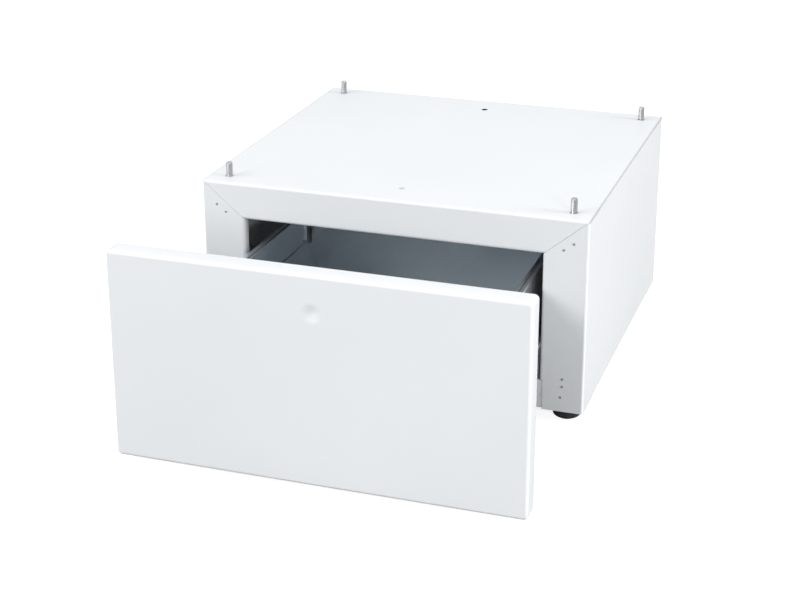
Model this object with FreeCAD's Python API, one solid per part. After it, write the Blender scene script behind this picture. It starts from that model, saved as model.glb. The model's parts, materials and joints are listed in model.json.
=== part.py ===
import FreeCAD, Part
import math
import os

# A laundry pedestal: a folded sheet-steel shell on four levelling feet carries a washing
# machine on four studs, and a drawer without a handle runs in it on ball runners.
# Millimetres. The origin is on the floor under the middle of the shell, X to the right as
# seen from the front, Y to the back, Z up. The drawer stands open, as it is used.

# Shell
BODY_WIDTH = 595.0
BODY_DEPTH = 563.0
BODY_HEIGHT = 299.0
FOOT_HEIGHT = 20.0
SHELL_SHEET = 1.5
SHELL_BEND = 2.0
STILE_WIDTH = 66.7
TOP_RAIL_HEIGHT = 55.7
LOW_RAIL_HEIGHT = 45.0
LOW_RAIL_LIFT = 0.5
LOW_RAIL_DEPTH = 24.0
RETURN_DEPTH = 14.0
RETURN_BEND = 3.5
REAR_FLANGE = 30.0
EDGE_FLANGE = 20.0
CORNER_CLEAR = 70.0
SEAM = 0.5
RAIL_HOLE_OFFSET = 3.2
RAIL_HOLE_HEIGHT = 23.5
RAIL_HOLE_RADIUS = 2.2

# Rear panel with a pressed field that stiffens it
FIELD_MARGIN = 70.0
FIELD_DEPTH = 6.0
FIELD_SLOPE = 9.0

# Corner posts, machine studs and the two holes on the centre line of the top
STUD_INSET_X = 30.5
STUD_INSET_Y = 31.5
STUD_RADIUS = 5.0
STUD_LENGTH = 22.0
STUD_CHAMFER = 1.5
STUD_HOLE_RADIUS = 6.2
STUD_COLLAR_RADIUS = 5.8
THREAD_CLEARANCE = 0.25
NUT_WIDTH = 17.0
NUT_HEIGHT = 8.0
STUD_TAIL = 4.0
POST_SIZE = 30.0
POST_SHEET = 2.0
POST_BEND = 2.0
POST_PLATE = 3.0
POST_PLATE_DEPTH = 60.0
CENTRE_HOLE_RADIUS = 4.75
CENTRE_HOLE_INSET = 57.0
CENTRE_HOLE_REAR_INSET = 56.0
PLUG_CLEARANCE = 0.2
PLUG_LIP = 0.9
PLUG_LIP_HEIGHT = 1.2
PLUG_LENGTH = 4.0

# Levelling feet
FOOT_RADIUS = 21.0
FOOT_ROUNDING = 5.0
SOLE_RADIUS = 13.0
SOLE_HEIGHT = 2.5
SOLE_PIN_RADIUS = 4.0
SOLE_PIN_HEIGHT = 5.0
FOOT_CLEARANCE = 0.3
STEM_RADIUS = 4.75
STEM_LENGTH = 38.0
WELD_NUT_HEIGHT = 12.0

# Ball runners: three steel members with a ball cage between each two
RUNNER_REAR_ROOM = 109.0
RUNNER_HEIGHT = 45.5
RUNNER_THICKNESS = 12.7
RUNNER_SHEET = 1.2
RUNNER_BEND = 1.0
RUNNER_LIFT = 4.25
RUNNER_SETBACK = 4.0
RUNNER_EDGE_GAP = 1.8
RUNNER_LIP_GAP = 1.5
MIDDLE_SETOFF = 2.6
MIDDLE_DROP = 6.25
INNER_DROP = 11.95
INNER_REACH = 7.3
BALL_CLEARANCE = 0.3
CAGE_SHEET = 0.6
CAGE_GAP = 0.45
CAGE_LENGTH = 180.0
CAGE_START = 130.0
CAGE_BALLS = 3
CAGE_BALL_MARGIN = 15.0
POCKET_CLEARANCE = 0.3
SUPPORT_RISE = 27.0

# Touch latch behind each runner
LATCH_LENGTH = 46.0
LATCH_HEIGHT = 26.0
LATCH_WIDTH = 11.5
LATCH_STROKE = 4.0
LATCH_ROD_RADIUS = 3.2
LATCH_HEAD_RADIUS = 5.0
LATCH_HEAD = 4.0
LATCH_BORE = 34.0
LATCH_REST_GAP = 0.6
LATCH_CLEARANCE = 0.4

# Drawer front
FRONT_SIDE_INSET = 1.7
FRONT_OVERHANG = 7.4
FRONT_TOP_GAP = 0.5
FRONT_THICKNESS = 31.0
FRONT_SHEET = 1.2
FRONT_EDGE_RADIUS = 3.5
FRONT_CORNER_RADIUS = 4.0
FRONT_BACK_RADIUS = 1.0
LINER_CLEARANCE = 0.2
DIMPLE_DROP = 53.5
DIMPLE_RADIUS = 14.0
DIMPLE_DEPTH = 3.0
STIFFENER_X = 150.0
STIFFENER_WIDTH = 50.0
STIFFENER_LIP = 18.0
STIFFENER_MARGIN = 30.0
STIFFENER_SHEET = 1.0
BUMPER_RADIUS = 5.0
BUMPER_HEIGHT = 1.8
BUMPER_INSET = 35.5
BUMPER_LOW = 75.0
BUMPER_HIGH = 225.0

# Drawer box
CLOSED_GAP = 2.0
REST_OPENING = 281.6
TRAY_PAST_RUNNER = 43.0
BACK_WALL_INSET = 12.4
TRAY_SHEET = 1.0
TRAY_BEND = 3.0
TRAY_FLOOR_GAP = 6.0
TRAY_KNEE_GAP = 2.0
TRAY_SLOPE_HEIGHT = 36.0
TRAY_SLOPE_WIDTH = 17.0
TRAY_BAND = 54.0
END_FLANGE = 12.0
END_CLEARANCE = 0.3
SIDE_GAP = 15.3
SIDE_RISE = 10.0
SIDE_DROP = 6.0
SIDE_BAND = 7.5
SIDE_FLANGE = 22.0
SIDE_FOOT = 5.0
SIDE_BEND = 1.0
TRIM_LIFT = 11.0
TRIM_SHEET = 0.8
TRIM_STANDOFF = 4.5
TRIM_BEND = 2.0
TRIM_START = 14.0
TRIM_END = 16.0
CORNER_GAP = 6.0
CORNER_GAP_LIFT = 4.0
CARRIER_SHEET = 1.5
CARRIER_RISE = 16.0
CARRIER_DROP = 14.0
CARRIER_UPPER_LIP = 10.0
CARRIER_LOWER_LIP = 5.5

# Places of the shell
HALF_WIDTH = BODY_WIDTH / 2
FRONT = -BODY_DEPTH / 2
BACK = BODY_DEPTH / 2
BASE = FOOT_HEIGHT
TOP = BASE + BODY_HEIGHT
UNDER_TOP = TOP - SHELL_SHEET
INSIDE_HALF = HALF_WIDTH - SHELL_SHEET
OPEN_HALF = HALF_WIDTH - STILE_WIDTH
OPEN_TOP = TOP - TOP_RAIL_HEIGHT
OPEN_BASE = BASE + LOW_RAIL_HEIGHT
RAIL_HOLE_X = OPEN_HALF + RAIL_HOLE_OFFSET
STUD_X = HALF_WIDTH - STUD_INSET_X
STUD_Y = BACK - STUD_INSET_Y
POST_INNER = STUD_X - POST_SIZE / 2

# Places of the runners and the drawer front
RUNNER_LENGTH = BODY_DEPTH - RUNNER_SETBACK - RUNNER_REAR_ROOM
RUNNER_WALL = OPEN_HALF - RUNNER_EDGE_GAP
RUNNER_Z = OPEN_BASE + RUNNER_LIFT + RUNNER_HEIGHT / 2
RUNNER_START = FRONT + RUNNER_SETBACK
RUNNER_END = RUNNER_START + RUNNER_LENGTH
LINER_BACK = FRONT - CLOSED_GAP
FRONT_FACE = LINER_BACK - FRONT_THICKNESS
FRONT_HALF = HALF_WIDTH - FRONT_SIDE_INSET
FRONT_BASE = BASE - FRONT_OVERHANG
FRONT_TOP = TOP - FRONT_TOP_GAP
DIMPLE_Z = FRONT_TOP - DIMPLE_DROP
BUMPER_X = HALF_WIDTH - BUMPER_INSET

# Places of the drawer box
CARRIER_FACE = RUNNER_WALL - RUNNER_THICKNESS
CARRIER_TOP = RUNNER_Z + CARRIER_RISE
CARRIER_BASE = RUNNER_Z - CARRIER_DROP
CARRIER_LIP_TOP = CARRIER_TOP + CARRIER_UPPER_LIP
CARRIER_LIP_BASE = CARRIER_BASE - CARRIER_LOWER_LIP
TRAY_DEPTH = RUNNER_LENGTH + TRAY_PAST_RUNNER
TRAY_INSIDE = TRAY_DEPTH - BACK_WALL_INSET
TRAY_FLOOR = OPEN_BASE + TRAY_FLOOR_GAP
TRAY_KNEE = CARRIER_LIP_TOP + TRAY_KNEE_GAP
TRAY_SHOULDER = TRAY_KNEE + TRAY_SLOPE_HEIGHT
TRAY_TOP = TRAY_SHOULDER + TRAY_BAND
SIDE_OUTER = OPEN_HALF - SIDE_GAP
SIDE_INNER = SIDE_OUTER - SIDE_BAND
SIDE_TOP = TRAY_TOP + SIDE_RISE
SIDE_BASE = TRAY_SHOULDER - SIDE_DROP
TRIM_BASE = TRAY_SHOULDER + TRIM_LIFT
TRAY_TOP_HALF = SIDE_INNER - TRAY_SHEET
TRAY_FLOOR_HALF = TRAY_TOP_HALF - TRAY_SLOPE_WIDTH
OVERCUT = 1.0

PLAN = "plan"
ACROSS = "across"
ALONG = "along"


def point(x, y, z=0.0):
    return FreeCAD.Vector(x, y, z)


def direction(start, end):
    along = end - start
    return along * (1 / along.Length)


def cross(u, w):
    return u.x * w.y - u.y * w.x


def shifted_path(points, distance):
    """The polyline moved sideways, to the left of its direction when distance is positive."""
    runs = []
    for start, end in zip(points, points[1:]):
        along = direction(start, end)
        side = point(-along.y, along.x) * distance
        runs.append((start + side, end + side, along))
    corners = [runs[0][0]]
    for (first, _, u), (second, _, w) in zip(runs, runs[1:]):
        corners.append(first + u * (cross(second - first, w) / cross(u, w)))
    corners.append(runs[-1][1])
    return corners


def rounded_edges(points, radii):
    """Straight runs joined by tangent arcs, one radius for each inner corner."""
    edges = []
    here = points[0]
    for before, corner, after, radius in zip(points, points[1:], points[2:], radii):
        u = direction(before, corner)
        w = direction(corner, after)
        turn = math.atan2(cross(u, w), u * w)
        reach = radius * math.tan(abs(turn) / 2)
        start = corner - u * reach
        end = corner + w * reach
        inward = direction(corner, corner + w - u)
        middle = corner + inward * (radius / math.cos(turn / 2) - radius)
        edges.append(Part.LineSegment(here, start).toShape())
        edges.append(Part.Arc(start, middle, end).toShape())
        here = end
    edges.append(Part.LineSegment(here, points[-1]).toShape())
    return edges


def stand_up(face, plane):
    """Turn a face drawn in the XY plane into the plan, the XZ or the YZ plane."""
    if plane == ACROSS:
        return face.rotated(point(0, 0), point(1, 0, 0), 90)
    if plane == ALONG:
        return face.rotated(point(0, 0), point(1, 1, 1), 120)
    return face


def swept(face, plane, start, end):
    """Pull an upright face from start to end, square to its plane."""
    normal = {PLAN: point(0, 0, 1), ACROSS: point(0, 1, 0), ALONG: point(1, 0, 0)}[plane]
    placed = stand_up(face, plane).translated(normal * start)
    return placed.extrude(normal * (end - start))


def folded(points, sheet, bends, plane, start, end):
    """Sheet metal folded along a polyline: sheet is positive to lie on the path's left."""
    side = 1 if sheet > 0 else -1
    thickness = abs(sheet)
    near = []
    far = []
    for before, corner, after, bend in zip(points, points[1:], points[2:], bends):
        turn = cross(direction(before, corner), direction(corner, after))
        inside = turn * side > 0
        near.append(bend + thickness if inside else bend)
        far.append(bend if inside else bend + thickness)
    other = shifted_path(points, sheet)
    edges = rounded_edges(points, near) + rounded_edges(other, far)
    edges.append(Part.LineSegment(points[0], other[0]).toShape())
    edges.append(Part.LineSegment(points[-1], other[-1]).toShape())
    wire = Part.Wire(Part.__sortEdges__(edges))
    return swept(Part.Face(wire), plane, start, end)


def prism(points, plane, start, end):
    return swept(Part.Face(Part.makePolygon(points + points[:1])), plane, start, end)


def block(x0, x1, y0, y1, z0, z1):
    return Part.makeBox(x1 - x0, y1 - y0, z1 - z0, point(x0, y0, z0))


def upright(radius, x, y, z0, z1):
    return Part.makeCylinder(radius, z1 - z0, point(x, y, z0))


def turned(points, x, y):
    """A solid of revolution about the upright line through x, y; points are radius, height."""
    wire = Part.makePolygon([point(r, 0, z) for r, z in points + points[:1]])
    solid = Part.Face(wire).revolve(point(0, 0), point(0, 0, 1), 360)
    return solid.translated(point(x, y))


def hexagon(width, x, y, z0, z1):
    radius = width / math.sqrt(3)
    corners = [point(x + radius * math.cos(k * math.pi / 3), y + radius * math.sin(k * math.pi / 3))
               for k in range(6)]
    return prism(corners, PLAN, z0, z1)


def mirrored(shape):
    return shape.mirror(point(0, 0), point(1, 0, 0))


def turned_back(shape):
    return shape.mirror(point(0, 0), point(0, 1, 0))


def opened(shape, share=1.0):
    """Move a drawer piece forward with its share of the opening."""
    return shape.translated(point(0, -REST_OPENING * share, 0))


def save(name, *solids):
    shape = solids[0] if len(solids) == 1 else Part.makeCompound(list(solids))
    shape = shape.removeSplitter() if len(solids) == 1 else shape
    shape.exportStep("parts/" + name + ".step")
    print(name, len(shape.Solids), "solid", round(shape.Volume / 1000, 2), "cm3", shape.isValid())


def save_pair(name, right):
    save(name + "_right", right)
    save(name + "_left", mirrored(right))


# Shell panels

def mitre_point(height):
    """X of the mitre seam, which runs from the top corner to the corner of the opening."""
    share = (height - OPEN_TOP) / TOP_RAIL_HEIGHT
    return OPEN_HALF + STILE_WIDTH * share


def top_panel():
    path = [
        point(FRONT + RETURN_DEPTH, OPEN_TOP),
        point(FRONT, OPEN_TOP),
        point(FRONT, TOP),
        point(BACK, TOP),
        point(BACK, TOP - REAR_FLANGE),
    ]
    bends = [RETURN_BEND, SHELL_BEND, SHELL_BEND]
    panel = folded(path, -SHELL_SHEET, bends, ALONG, -HALF_WIDTH, HALF_WIDTH)
    waste = prism(
        [
            point(OPEN_HALF, OPEN_TOP),
            point(mitre_point(UNDER_TOP), UNDER_TOP),
            point(HALF_WIDTH + OVERCUT, UNDER_TOP),
            point(HALF_WIDTH + OVERCUT, OPEN_TOP - OVERCUT),
            point(OPEN_HALF, OPEN_TOP - OVERCUT),
        ],
        ACROSS, FRONT - OVERCUT, FRONT + RETURN_DEPTH + OVERCUT,
    )
    rear_waste = block(
        INSIDE_HALF - REAR_FLANGE, HALF_WIDTH + OVERCUT,
        BACK - SHELL_SHEET - SHELL_BEND, BACK + OVERCUT,
        TOP - REAR_FLANGE - OVERCUT, UNDER_TOP,
    )
    for cut in (waste, rear_waste):
        panel = panel.cut(cut).cut(mirrored(cut))
    for x in (-STUD_X, STUD_X):
        for y in (-STUD_Y, STUD_Y):
            panel = panel.cut(upright(STUD_HOLE_RADIUS, x, y, UNDER_TOP - OVERCUT, TOP + OVERCUT))
    for y in centre_holes():
        panel = panel.cut(upright(CENTRE_HOLE_RADIUS, 0, y, UNDER_TOP - OVERCUT, TOP + OVERCUT))
    return panel


def centre_holes():
    return FRONT + CENTRE_HOLE_INSET, BACK - CENTRE_HOLE_REAR_INSET


def side_panel():
    plan = [
        point(OPEN_HALF, FRONT + RETURN_DEPTH),
        point(OPEN_HALF, FRONT),
        point(HALF_WIDTH, FRONT),
        point(HALF_WIDTH, BACK),
        point(HALF_WIDTH - REAR_FLANGE, BACK),
    ]
    bends = [RETURN_BEND, SHELL_BEND, SHELL_BEND]
    panel = folded(plan, SHELL_SHEET, bends, PLAN, BASE, UNDER_TOP)
    section = [
        point(HALF_WIDTH - EDGE_FLANGE, BASE),
        point(HALF_WIDTH, BASE),
        point(HALF_WIDTH, UNDER_TOP),
        point(HALF_WIDTH - EDGE_FLANGE, UNDER_TOP),
    ]
    edge_bends = [SHELL_BEND, SHELL_BEND]
    inner_run = block(
        HALF_WIDTH - EDGE_FLANGE, HALF_WIDTH + OVERCUT,
        FRONT + CORNER_CLEAR, BACK - CORNER_CLEAR, BASE - OVERCUT, TOP,
    )
    flanges = folded(
        section, SHELL_SHEET, edge_bends, ACROSS, FRONT + CORNER_CLEAR, BACK - CORNER_CLEAR
    )
    panel = panel.cut(inner_run).fuse(flanges)
    inner_edge = OPEN_HALF - OVERCUT
    mitre = prism(
        [
            point(inner_edge, mitre_height(inner_edge) - SEAM),
            point(HALF_WIDTH, mitre_height(HALF_WIDTH) - SEAM),
            point(HALF_WIDTH, TOP + OVERCUT),
            point(inner_edge, TOP + OVERCUT),
        ],
        ACROSS, FRONT - OVERCUT, FRONT + RETURN_DEPTH + OVERCUT,
    )
    notch = block(
        inner_edge, OPEN_HALF + RETURN_BEND + SHELL_SHEET,
        FRONT - OVERCUT, FRONT + RETURN_DEPTH + OVERCUT,
        BASE - OVERCUT, OPEN_BASE + OVERCUT,
    )
    return panel.cut(mitre).cut(notch)


def mitre_height(x):
    return OPEN_TOP + TOP_RAIL_HEIGHT * (x - OPEN_HALF) / STILE_WIDTH


def field_form(half_width, low, high, face, depth):
    """A shallow tapered block, the shape that the press pushes into a panel."""
    def outline(inset, y):
        left, right = -half_width + inset, half_width - inset
        bottom, top = low + inset, high - inset
        corners = [point(left, y, bottom), point(right, y, bottom),
                   point(right, y, top), point(left, y, top)]
        return Part.makePolygon(corners + corners[:1])
    return Part.makeLoft([outline(0, face), outline(FIELD_SLOPE, face - depth)], True, True)


def rear_panel():
    edge_gap = SHELL_SHEET + SHELL_BEND + SEAM
    half_width = HALF_WIDTH - edge_gap
    low = BASE + LOW_RAIL_LIFT
    high = TOP - edge_gap
    face = BACK - SHELL_SHEET
    plate = block(-half_width, half_width, face - SHELL_SHEET, face, low, high)
    field = field_form(
        half_width - FIELD_MARGIN, low + FIELD_MARGIN, high - FIELD_MARGIN, face, FIELD_DEPTH
    )
    return plate.fuse(field.translated(point(0, -SHELL_SHEET, 0))).cut(field)


def low_rail():
    """The front rail under the opening, a channel that stands between the front posts."""
    face = FRONT + SHELL_SHEET
    low = BASE + LOW_RAIL_LIFT
    path = [
        point(face + LOW_RAIL_DEPTH, OPEN_BASE),
        point(face, OPEN_BASE),
        point(face, low),
        point(face + LOW_RAIL_DEPTH, low),
    ]
    bends = [SHELL_BEND, SHELL_BEND]
    rail = folded(path, SHELL_SHEET, bends, ALONG, -POST_INNER, POST_INNER)
    for x in (-RAIL_HOLE_X, RAIL_HOLE_X):
        mouth = point(x, face - OVERCUT, BASE + RAIL_HOLE_HEIGHT)
        length = SHELL_SHEET + 2 * OVERCUT
        rail = rail.cut(Part.makeCylinder(RAIL_HOLE_RADIUS, length, mouth, point(0, 1, 0)))
    return rail


def corner_post():
    """Front right post: a channel with a foot plate below and a stud plate on top."""
    half = POST_SIZE / 2
    path = [
        point(STUD_X + half, -STUD_Y + half),
        point(STUD_X + half, -STUD_Y - half),
        point(STUD_X - half, -STUD_Y - half),
        point(STUD_X - half, -STUD_Y + half),
    ]
    bends = [POST_BEND, POST_BEND]
    post = folded(path, -POST_SHEET, bends, PLAN, BASE, UNDER_TOP)
    plate_front = FRONT + SHELL_SHEET + SHELL_BEND + SEAM
    for low in (BASE, UNDER_TOP - POST_PLATE):
        plate = block(
            POST_INNER, INSIDE_HALF, plate_front, plate_front + POST_PLATE_DEPTH,
            low, low + POST_PLATE,
        )
        post = post.fuse(plate)
    foot_hole = upright(STEM_RADIUS + FOOT_CLEARANCE, STUD_X, -STUD_Y, BASE - OVERCUT, OPEN_BASE)
    stud_hole = upright(STUD_RADIUS, STUD_X, -STUD_Y, OPEN_TOP, TOP)
    return post.cut(foot_hole).cut(stud_hole)


def machine_stud(x, y):
    shank = STUD_RADIUS - THREAD_CLEARANCE
    tail = UNDER_TOP - POST_PLATE - NUT_HEIGHT - STUD_TAIL
    profile = [
        (0, tail), (shank, tail), (shank, UNDER_TOP),
        (STUD_COLLAR_RADIUS, UNDER_TOP), (STUD_COLLAR_RADIUS, TOP),
        (STUD_RADIUS, TOP), (STUD_RADIUS, TOP + STUD_LENGTH - STUD_CHAMFER),
        (STUD_RADIUS - STUD_CHAMFER, TOP + STUD_LENGTH), (0, TOP + STUD_LENGTH),
    ]
    return turned(profile, x, y)


def stud_nut(x, y):
    seat = UNDER_TOP - POST_PLATE
    nut = hexagon(NUT_WIDTH, x, y, seat - NUT_HEIGHT, seat)
    return nut.cut(upright(STUD_RADIUS, x, y, seat - NUT_HEIGHT, seat))


def weld_nut(x, y):
    seat = BASE + POST_PLATE
    nut = hexagon(NUT_WIDTH, x, y, seat, seat + WELD_NUT_HEIGHT)
    return nut.cut(upright(STEM_RADIUS + FOOT_CLEARANCE, x, y, seat, seat + WELD_NUT_HEIGHT))


def hole_plug():
    radius = CENTRE_HOLE_RADIUS - PLUG_CLEARANCE
    lip = CENTRE_HOLE_RADIUS + PLUG_LIP
    profile = [
        (0, UNDER_TOP - PLUG_LENGTH), (radius - PLUG_LIP, UNDER_TOP - PLUG_LENGTH),
        (lip, UNDER_TOP - PLUG_LIP_HEIGHT), (lip, UNDER_TOP),
        (radius, UNDER_TOP), (radius, TOP - PLUG_CLEARANCE), (0, TOP - PLUG_CLEARANCE),
    ]
    return turned(profile, 0, centre_holes()[0])


# Levelling feet

def foot_sole(x, y):
    profile = [
        (0, 0), (SOLE_RADIUS, 0), (SOLE_RADIUS, SOLE_HEIGHT), (SOLE_PIN_RADIUS, SOLE_HEIGHT),
        (SOLE_PIN_RADIUS, SOLE_HEIGHT + SOLE_PIN_HEIGHT), (0, SOLE_HEIGHT + SOLE_PIN_HEIGHT),
    ]
    return turned(profile, x, y)


def foot_screw(x, y):
    """The black disc with its bowl-shaped lower edge, and the threaded stem that it turns."""
    top = BASE - FOOT_CLEARANCE
    bore = SOLE_PIN_RADIUS + FOOT_CLEARANCE
    roof = SOLE_HEIGHT + SOLE_PIN_HEIGHT + FOOT_CLEARANCE
    bowl = [point(bore, SOLE_HEIGHT), point(FOOT_RADIUS, SOLE_HEIGHT), point(FOOT_RADIUS, top)]
    rest = [
        bowl[-1], point(STEM_RADIUS, top), point(STEM_RADIUS, BASE + STEM_LENGTH),
        point(0, BASE + STEM_LENGTH), point(0, roof), point(bore, roof), bowl[0],
    ]
    edges = rounded_edges(bowl, [FOOT_ROUNDING]) + Part.makePolygon(rest).Edges
    profile = stand_up(Part.Face(Part.Wire(edges)), ACROSS)
    return profile.revolve(point(0, 0), point(0, 0, 1), 360).translated(point(x, y))


# Ball runners of the right side: u counts from the shell's wall towards the drawer

def runner_channel(u_lip, u_web, height, sheet, start, length):
    """A channel whose web stands at u_web and whose lips reach u_lip."""
    half = height / 2
    path = [
        point(RUNNER_WALL - u_lip, RUNNER_Z + half),
        point(RUNNER_WALL - u_web, RUNNER_Z + half),
        point(RUNNER_WALL - u_web, RUNNER_Z - half),
        point(RUNNER_WALL - u_lip, RUNNER_Z - half),
    ]
    side = -sheet if u_lip > u_web else sheet
    return folded(path, side, [RUNNER_BEND, RUNNER_BEND], ACROSS, start, start + length)


def runner_outer():
    lip = RUNNER_THICKNESS - RUNNER_LIP_GAP
    return runner_channel(lip, 0, RUNNER_HEIGHT, RUNNER_SHEET, RUNNER_START, RUNNER_LENGTH)


def runner_middle():
    lip = RUNNER_THICKNESS - RUNNER_LIP_GAP
    height = RUNNER_HEIGHT - 2 * MIDDLE_DROP
    return runner_channel(lip, MIDDLE_SETOFF, height, RUNNER_SHEET, RUNNER_START, RUNNER_LENGTH)


def runner_inner():
    lip = RUNNER_THICKNESS - INNER_REACH
    height = RUNNER_HEIGHT - 2 * INNER_DROP
    return runner_channel(lip, RUNNER_THICKNESS, height, RUNNER_SHEET, RUNNER_START, RUNNER_LENGTH)


def ball_cage(web, u_balls, lip, track_out, track_in):
    """A cage strip with its balls between two tracks, given as heights above the centre."""
    middle = (track_out + track_in) / 2
    radius = (track_out - track_in) / 2 - BALL_CLEARANCE
    height = 2 * middle + CAGE_SHEET
    cage = runner_channel(lip, web, height, CAGE_SHEET, RUNNER_START + CAGE_START, CAGE_LENGTH)
    pitch = (CAGE_LENGTH - 2 * CAGE_BALL_MARGIN) / (CAGE_BALLS - 1)
    balls = []
    for row in (-middle, middle):
        for k in range(CAGE_BALLS):
            y = RUNNER_START + CAGE_START + CAGE_BALL_MARGIN + k * pitch
            centre = point(RUNNER_WALL - u_balls, y, RUNNER_Z + row)
            low = RUNNER_Z + row - radius
            pocket = upright(radius + POCKET_CLEARANCE, centre.x, y, low, low + 2 * radius)
            cage = cage.cut(pocket)
            balls.append(Part.makeSphere(radius, centre))
    return [cage] + balls


def outer_cage():
    track_out = RUNNER_HEIGHT / 2 - RUNNER_SHEET
    track_in = RUNNER_HEIGHT / 2 - MIDDLE_DROP
    web = RUNNER_SHEET + CAGE_GAP
    lip = RUNNER_THICKNESS - RUNNER_LIP_GAP - CAGE_SHEET
    return ball_cage(web, RUNNER_THICKNESS / 2, lip, track_out, track_in)


def inner_cage():
    track_out = RUNNER_HEIGHT / 2 - MIDDLE_DROP - RUNNER_SHEET
    track_in = RUNNER_HEIGHT / 2 - INNER_DROP
    web = MIDDLE_SETOFF + RUNNER_SHEET + CAGE_GAP
    lip = RUNNER_THICKNESS - RUNNER_LIP_GAP - CAGE_SHEET
    return ball_cage(web, (web + lip) / 2 + CAGE_SHEET, lip, track_out, track_in)


def runner_support():
    """A channel from post to post that rests on the bottom rails and backs the runner."""
    high = RUNNER_Z + SUPPORT_RISE
    path = [
        point(POST_INNER, high),
        point(RUNNER_WALL, high),
        point(RUNNER_WALL, OPEN_BASE),
        point(POST_INNER, OPEN_BASE),
    ]
    reach = STUD_Y + POST_SIZE / 2
    return folded(path, SHELL_SHEET, [SHELL_BEND, SHELL_BEND], ACROSS, -reach, reach)


# Touch latch of the right side

def latch_front():
    return RUNNER_END + LATCH_REST_GAP + LATCH_HEAD + LATCH_STROKE + LATCH_CLEARANCE


def latch_axis(y):
    return point(RUNNER_WALL - LATCH_WIDTH / 2, y, RUNNER_Z)


def latch_housing():
    y = latch_front()
    half = LATCH_HEIGHT / 2
    housing = block(
        RUNNER_WALL - LATCH_WIDTH, RUNNER_WALL, y, y + LATCH_LENGTH, RUNNER_Z - half, RUNNER_Z + half
    )
    bore = Part.makeCylinder(
        LATCH_ROD_RADIUS + LATCH_CLEARANCE, LATCH_BORE, latch_axis(y), point(0, 1, 0)
    )
    return housing.cut(bore)


def latch_plunger():
    tip = RUNNER_END + LATCH_REST_GAP
    head = Part.makeCylinder(LATCH_HEAD_RADIUS, LATCH_HEAD, latch_axis(tip), point(0, 1, 0))
    length = LATCH_HEAD + LATCH_BORE - LATCH_CLEARANCE
    rod = Part.makeCylinder(LATCH_ROD_RADIUS, length, latch_axis(tip), point(0, 1, 0))
    return head.fuse(rod)


# Drawer front

def rounded_box(half_width, y0, y1, z0, z1, corner, edge):
    """A box with rounded corners and a rounded rim round its front face."""
    box = block(-half_width, half_width, y0, y1, z0, z1)
    along_depth = [e for e in box.Edges if abs(e.tangentAt(e.FirstParameter).y) > 0.5]
    box = box.makeFillet(corner, along_depth)
    rim = [e for e in box.Edges if e.BoundBox.YMax < y0 + OVERCUT / 10]
    return box.makeFillet(edge, rim)


def front_skin():
    skin = rounded_box(
        FRONT_HALF, FRONT_FACE, LINER_BACK, FRONT_BASE, FRONT_TOP, FRONT_CORNER_RADIUS, FRONT_EDGE_RADIUS
    )
    back_rim = [e for e in skin.Edges if e.BoundBox.YMin > LINER_BACK - OVERCUT / 10]
    skin = skin.makeFillet(FRONT_BACK_RADIUS, back_rim)
    cavity = rounded_box(
        FRONT_HALF - FRONT_SHEET, FRONT_FACE + FRONT_SHEET, LINER_BACK + OVERCUT,
        FRONT_BASE + FRONT_SHEET, FRONT_TOP - FRONT_SHEET,
        FRONT_CORNER_RADIUS - FRONT_SHEET, FRONT_EDGE_RADIUS - FRONT_SHEET,
    )
    skin = skin.cut(cavity)
    ball = (DIMPLE_RADIUS ** 2 + DIMPLE_DEPTH ** 2) / (2 * DIMPLE_DEPTH)
    centre = point(0, FRONT_FACE + DIMPLE_DEPTH - ball, DIMPLE_Z)
    behind = block(
        -ball, ball, FRONT_FACE + FRONT_SHEET / 2, FRONT_FACE + FRONT_THICKNESS / 2,
        centre.z - ball, centre.z + ball,
    )
    dish = Part.makeSphere(ball + FRONT_SHEET, centre).common(behind)
    return skin.fuse(dish).cut(Part.makeSphere(ball, centre))


def front_liner():
    inset = FRONT_SHEET + LINER_CLEARANCE
    half = FRONT_HALF - inset
    plate = block(
        -half, half, LINER_BACK - FRONT_SHEET, LINER_BACK, FRONT_BASE + inset, FRONT_TOP - inset
    )
    corners = [e for e in plate.Edges if abs(e.tangentAt(e.FirstParameter).y) > 0.5]
    return plate.makeFillet(FRONT_CORNER_RADIUS - FRONT_SHEET, corners)


def front_stiffener(x):
    """A hat channel that keeps the front skin and the liner apart."""
    half = STIFFENER_WIDTH / 2
    lip = LINER_BACK - FRONT_SHEET - STIFFENER_SHEET
    crown = FRONT_FACE + FRONT_SHEET
    path = [
        point(x - half - STIFFENER_LIP, lip), point(x - half, lip), point(x - half, crown),
        point(x + half, crown), point(x + half, lip), point(x + half + STIFFENER_LIP, lip),
    ]
    low = FRONT_BASE + STIFFENER_MARGIN
    high = FRONT_TOP - STIFFENER_MARGIN
    return folded(path, STIFFENER_SHEET, [SHELL_BEND] * 4, PLAN, low, high)


def bumper(x, height):
    base = point(x, LINER_BACK, BASE + height)
    return Part.makeCylinder(BUMPER_RADIUS, BUMPER_HEIGHT, base, point(0, 1, 0))


# Drawer box

def tray_path(inset=0.0):
    """Half section of the tray's inside, from its right upper edge to its floor."""
    right = [
        point(TRAY_TOP_HALF, TRAY_TOP),
        point(TRAY_TOP_HALF, TRAY_SHOULDER),
        point(TRAY_FLOOR_HALF, TRAY_KNEE),
        point(TRAY_FLOOR_HALF, TRAY_FLOOR),
    ]
    left = [point(-p.x, p.y) for p in reversed(right)]
    return shifted_path(right + left, -inset) if inset else right + left


def drawer_tray():
    path = tray_path()
    bends = [TRAY_BEND] * (len(path) - 2)
    return folded(path, TRAY_SHEET, bends, ACROSS, LINER_BACK, LINER_BACK + TRAY_DEPTH)


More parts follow.
